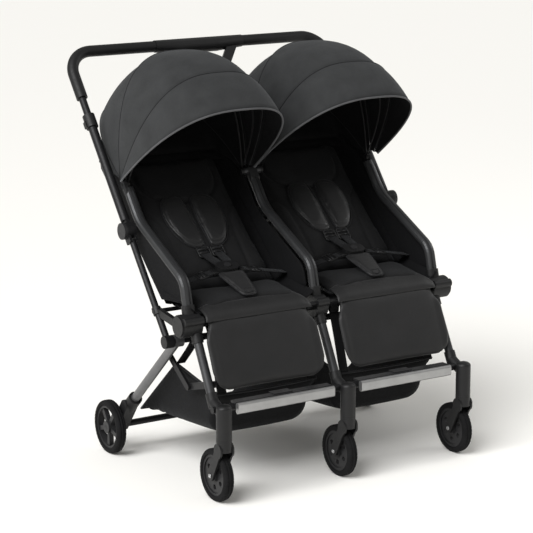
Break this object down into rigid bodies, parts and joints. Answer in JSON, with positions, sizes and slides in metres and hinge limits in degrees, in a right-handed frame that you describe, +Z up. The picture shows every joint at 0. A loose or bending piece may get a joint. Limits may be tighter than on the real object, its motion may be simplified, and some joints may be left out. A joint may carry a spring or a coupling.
{
  "type": "side by side double stroller",
  "caption": "Folding side-by-side stroller with bucket seats under fan canopies, harnesses, calf rests, footrests, under-seat baskets, swivelling front casters and a sliding push bar.",
  "frame": {"origin": "on the floor, halfway between the left and right sides, where the front and rear halves of the frame meet below the seats", "axes": "+X to the right as seen in front of the stroller, -Y to the front, +Z up"},
  "size_m": [0.784, 0.7341, 0.9802],
  "materials": {
    "frame_metal": "satin dark grey coat",
    "leg_metal": "brushed",
    "pin_steel": "plain",
    "footrest_metal": "brushed",
    "dark_plastic": "fine grain",
    "grey_plastic": "fine grain",
    "grip_cover": "stitched cover",
    "tyre": "matt",
    "seat_cloth": "woven",
    "pad_cover": "smooth",
    "canopy_cloth": "woven",
    "webbing": "ribbed"
  },
  "bodies": {
    "chassis": {"seat_rails": "frame_metal", "lower_uprights": "frame_metal", "main_hubs": "dark_plastic", "hub_caps": "grey_plastic", "front_legs": "frame_metal", "caster_housings": "dark_plastic", "cross_tubes": "frame_metal", "pivot_pins": "pin_steel", "fold_hub_caps": "grey_plastic", "footrest_bars": "footrest_metal", "footrest_treads": "dark_plastic", "footrest_rod": "frame_metal", "baskets": "seat_cloth", "seat_bases": "seat_cloth", "seat_sides": "seat_cloth", "seat_pads": "seat_cloth", "waist_straps": "webbing", "crotch_pads": "pad_cover", "buckles": "dark_plastic", "canopy_rears": "canopy_cloth"},
    "handle": {"upper_uprights": "frame_metal", "handle_collars": "dark_plastic"},
    "push": {"push_bar": "frame_metal", "grip_covers": "grip_cover", "handle_block": "dark_plastic", "handle_stem": "frame_metal"},
    "fold_button": {"fold_button": "grey_plastic"},
    "rear_frame": {"rear_legs": "leg_metal", "rear_axle": "frame_metal", "rear_brackets": "dark_plastic"},
    "brake": {"brake_pedal": "dark_plastic"},
    "brace_rear": {"brace_rear_links": "frame_metal"},
    "brace_front": {"brace_front_links": "frame_metal"},
    "rear_wheel_left": {"rear_tyre_left": "tyre", "rear_rim_left": "grey_plastic"},
    "canopy_mid_left": {"canopy_mid_left": "canopy_cloth"},
    "canopy_front_left": {"canopy_front_left": "canopy_cloth"},
    "backrest_left": {"backrest_left": "seat_cloth", "shoulder_pads_left": "pad_cover"},
    "calf_left": {"calf_rest_left": "pad_cover"},
    "buckle_button_left": {"buckle_button_left": "grey_plastic"},
    "rear_wheel_right": {"rear_tyre_right": "tyre", "rear_rim_right": "grey_plastic"},
    "canopy_mid_right": {"canopy_mid_right": "canopy_cloth"},
    "canopy_front_right": {"canopy_front_right": "canopy_cloth"},
    "backrest_right": {"backrest_right": "seat_cloth", "shoulder_pads_right": "pad_cover"},
    "calf_right": {"calf_rest_right": "pad_cover"},
    "buckle_button_right": {"buckle_button_right": "grey_plastic"},
    "caster_left": {"caster_fork_left": "dark_plastic"},
    "front_wheel_left": {"front_tyre_left": "tyre", "front_rim_left": "grey_plastic"},
    "caster_mid": {"caster_fork_mid": "dark_plastic"},
    "front_wheel_mid": {"front_tyre_mid": "tyre", "front_rim_mid": "grey_plastic"},
    "caster_right": {"caster_fork_right": "dark_plastic"},
    "front_wheel_right": {"front_tyre_right": "tyre", "front_rim_right": "grey_plastic"}
  },
  "joints": [
    {"name": "handle_fold", "type": "hinge", "parent": "chassis", "child": "handle", "pos_m": [0, 0.06, 0.572], "axis": [-1, 0, 0], "range_deg": [0, 120]},
    {"name": "handle_slide", "type": "slide", "parent": "handle", "child": "push", "axis": [0, 0.6239, 0.7815], "range_m": [0, 0.07]},
    {"name": "fold_button_press", "type": "slide", "parent": "push", "child": "fold_button", "axis": [0, -0.7815, 0.6239], "range_m": [0, 0.004], "stiffness_N_per_m": 400},
    {"name": "rear_fold", "type": "hinge", "parent": "chassis", "child": "rear_frame", "pos_m": [0, -0.12342, 0.34223], "axis": [-1, 0, 0], "range_deg": [0, 56]},
    {"name": "brace_rear_fold", "type": "hinge", "parent": "rear_frame", "child": "brace_rear", "pos_m": [0, -0.0614, 0.28558], "axis": [1, 0, 0], "range_deg": [0, 84.82]},
    {"name": "brace_front_fold", "type": "hinge", "parent": "chassis", "child": "brace_front", "pos_m": [0, -0.24995, 0.264], "axis": [-1, 0, 0], "range_deg": [0, 35.34]},
    {"name": "brake_press", "type": "hinge", "parent": "rear_frame", "child": "brake", "pos_m": [0, 0.158, 0.066], "axis": [-1, 0, 0], "range_deg": [0, 20]},
    {"name": "rear_spin_left", "type": "hinge", "parent": "rear_frame", "child": "rear_wheel_left", "pos_m": [-0.379, 0.158, 0.066], "axis": [-1, 0, 0], "continuous": true},
    {"name": "canopy_mid_left_turn", "type": "hinge", "parent": "chassis", "child": "canopy_mid_left", "pos_m": [0, 0.11518, 0.6719], "axis": [-1, 0, 0], "range_deg": [0, 28]},
    {"name": "canopy_front_left_turn", "type": "hinge", "parent": "canopy_mid_left", "child": "canopy_front_left", "pos_m": [0, 0.11518, 0.6719], "axis": [-1, 0, 0], "range_deg": [0, 26]},
    {"name": "recline_left", "type": "hinge", "parent": "chassis", "child": "backrest_left", "pos_m": [0, -0.07332, 0.40499], "axis": [-1, 0, 0], "range_deg": [0, 22]},
    {"name": "calf_left_lift", "type": "hinge", "parent": "chassis", "child": "calf_left", "pos_m": [0, -0.205, 0.405], "axis": [-1, 0, 0], "range_deg": [0, 55]},
    {"name": "buckle_press_left", "type": "slide", "parent": "chassis", "child": "buckle_button_left", "axis": [0, 0.3554, -0.9347], "range_m": [0, 0.002], "stiffness_N_per_m": 300},
    {"name": "rear_spin_right", "type": "hinge", "parent": "rear_frame", "child": "rear_wheel_right", "pos_m": [0.379, 0.158, 0.066], "axis": [-1, 0, 0], "continuous": true},
    {"name": "canopy_mid_right_turn", "type": "hinge", "parent": "chassis", "child": "canopy_mid_right", "pos_m": [0, 0.11518, 0.6719], "axis": [-1, 0, 0], "range_deg": [0, 28]},
    {"name": "canopy_front_right_turn", "type": "hinge", "parent": "canopy_mid_right", "child": "canopy_front_right", "pos_m": [0, 0.11518, 0.6719], "axis": [-1, 0, 0], "range_deg": [0, 26]},
    {"name": "recline_right", "type": "hinge", "parent": "chassis", "child": "backrest_right", "pos_m": [0, -0.07332, 0.40499], "axis": [-1, 0, 0], "range_deg": [0, 22]},
    {"name": "calf_right_lift", "type": "hinge", "parent": "chassis", "child": "calf_right", "pos_m": [0, -0.205, 0.405], "axis": [-1, 0, 0], "range_deg": [0, 55]},
    {"name": "buckle_press_right", "type": "slide", "parent": "chassis", "child": "buckle_button_right", "axis": [0, 0.3554, -0.9347], "range_m": [0, 0.002], "stiffness_N_per_m": 300},
    {"name": "swivel_left", "type": "hinge", "parent": "chassis", "child": "caster_left", "pos_m": [-0.3375, -0.316, 0.152], "axis": [0, 0, 1], "continuous": true},
    {"name": "front_spin_left", "type": "hinge", "parent": "caster_left", "child": "front_wheel_left", "pos_m": [-0.3375, -0.283, 0.0615], "axis": [-1, 0, 0], "continuous": true},
    {"name": "swivel_mid", "type": "hinge", "parent": "chassis", "child": "caster_mid", "pos_m": [0, -0.316, 0.152], "axis": [0, 0, 1], "continuous": true},
    {"name": "front_spin_mid", "type": "hinge", "parent": "caster_mid", "child": "front_wheel_mid", "pos_m": [0, -0.283, 0.0615], "axis": [-1, 0, 0], "continuous": true},
    {"name": "swivel_right", "type": "hinge", "parent": "chassis", "child": "caster_right", "pos_m": [0.3375, -0.316, 0.152], "axis": [0, 0, 1], "continuous": true},
    {"name": "front_spin_right", "type": "hinge", "parent": "caster_right", "child": "front_wheel_right", "pos_m": [0.3375, -0.283, 0.0615], "axis": [-1, 0, 0], "continuous": true}
  ],
  "couplings": [
    {"joint": "rear_fold", "follows": "handle_fold", "ratio": 0.46667},
    {"joint": "brace_rear_fold", "follows": "handle_fold", "ratio": 0.70678},
    {"joint": "brace_front_fold", "follows": "handle_fold", "ratio": 0.29441},
    {"joint": "canopy_front_left_turn", "follows": "canopy_mid_left_turn", "ratio": 0.92857},
    {"joint": "canopy_front_right_turn", "follows": "canopy_mid_right_turn", "ratio": 0.92857}
  ]
}
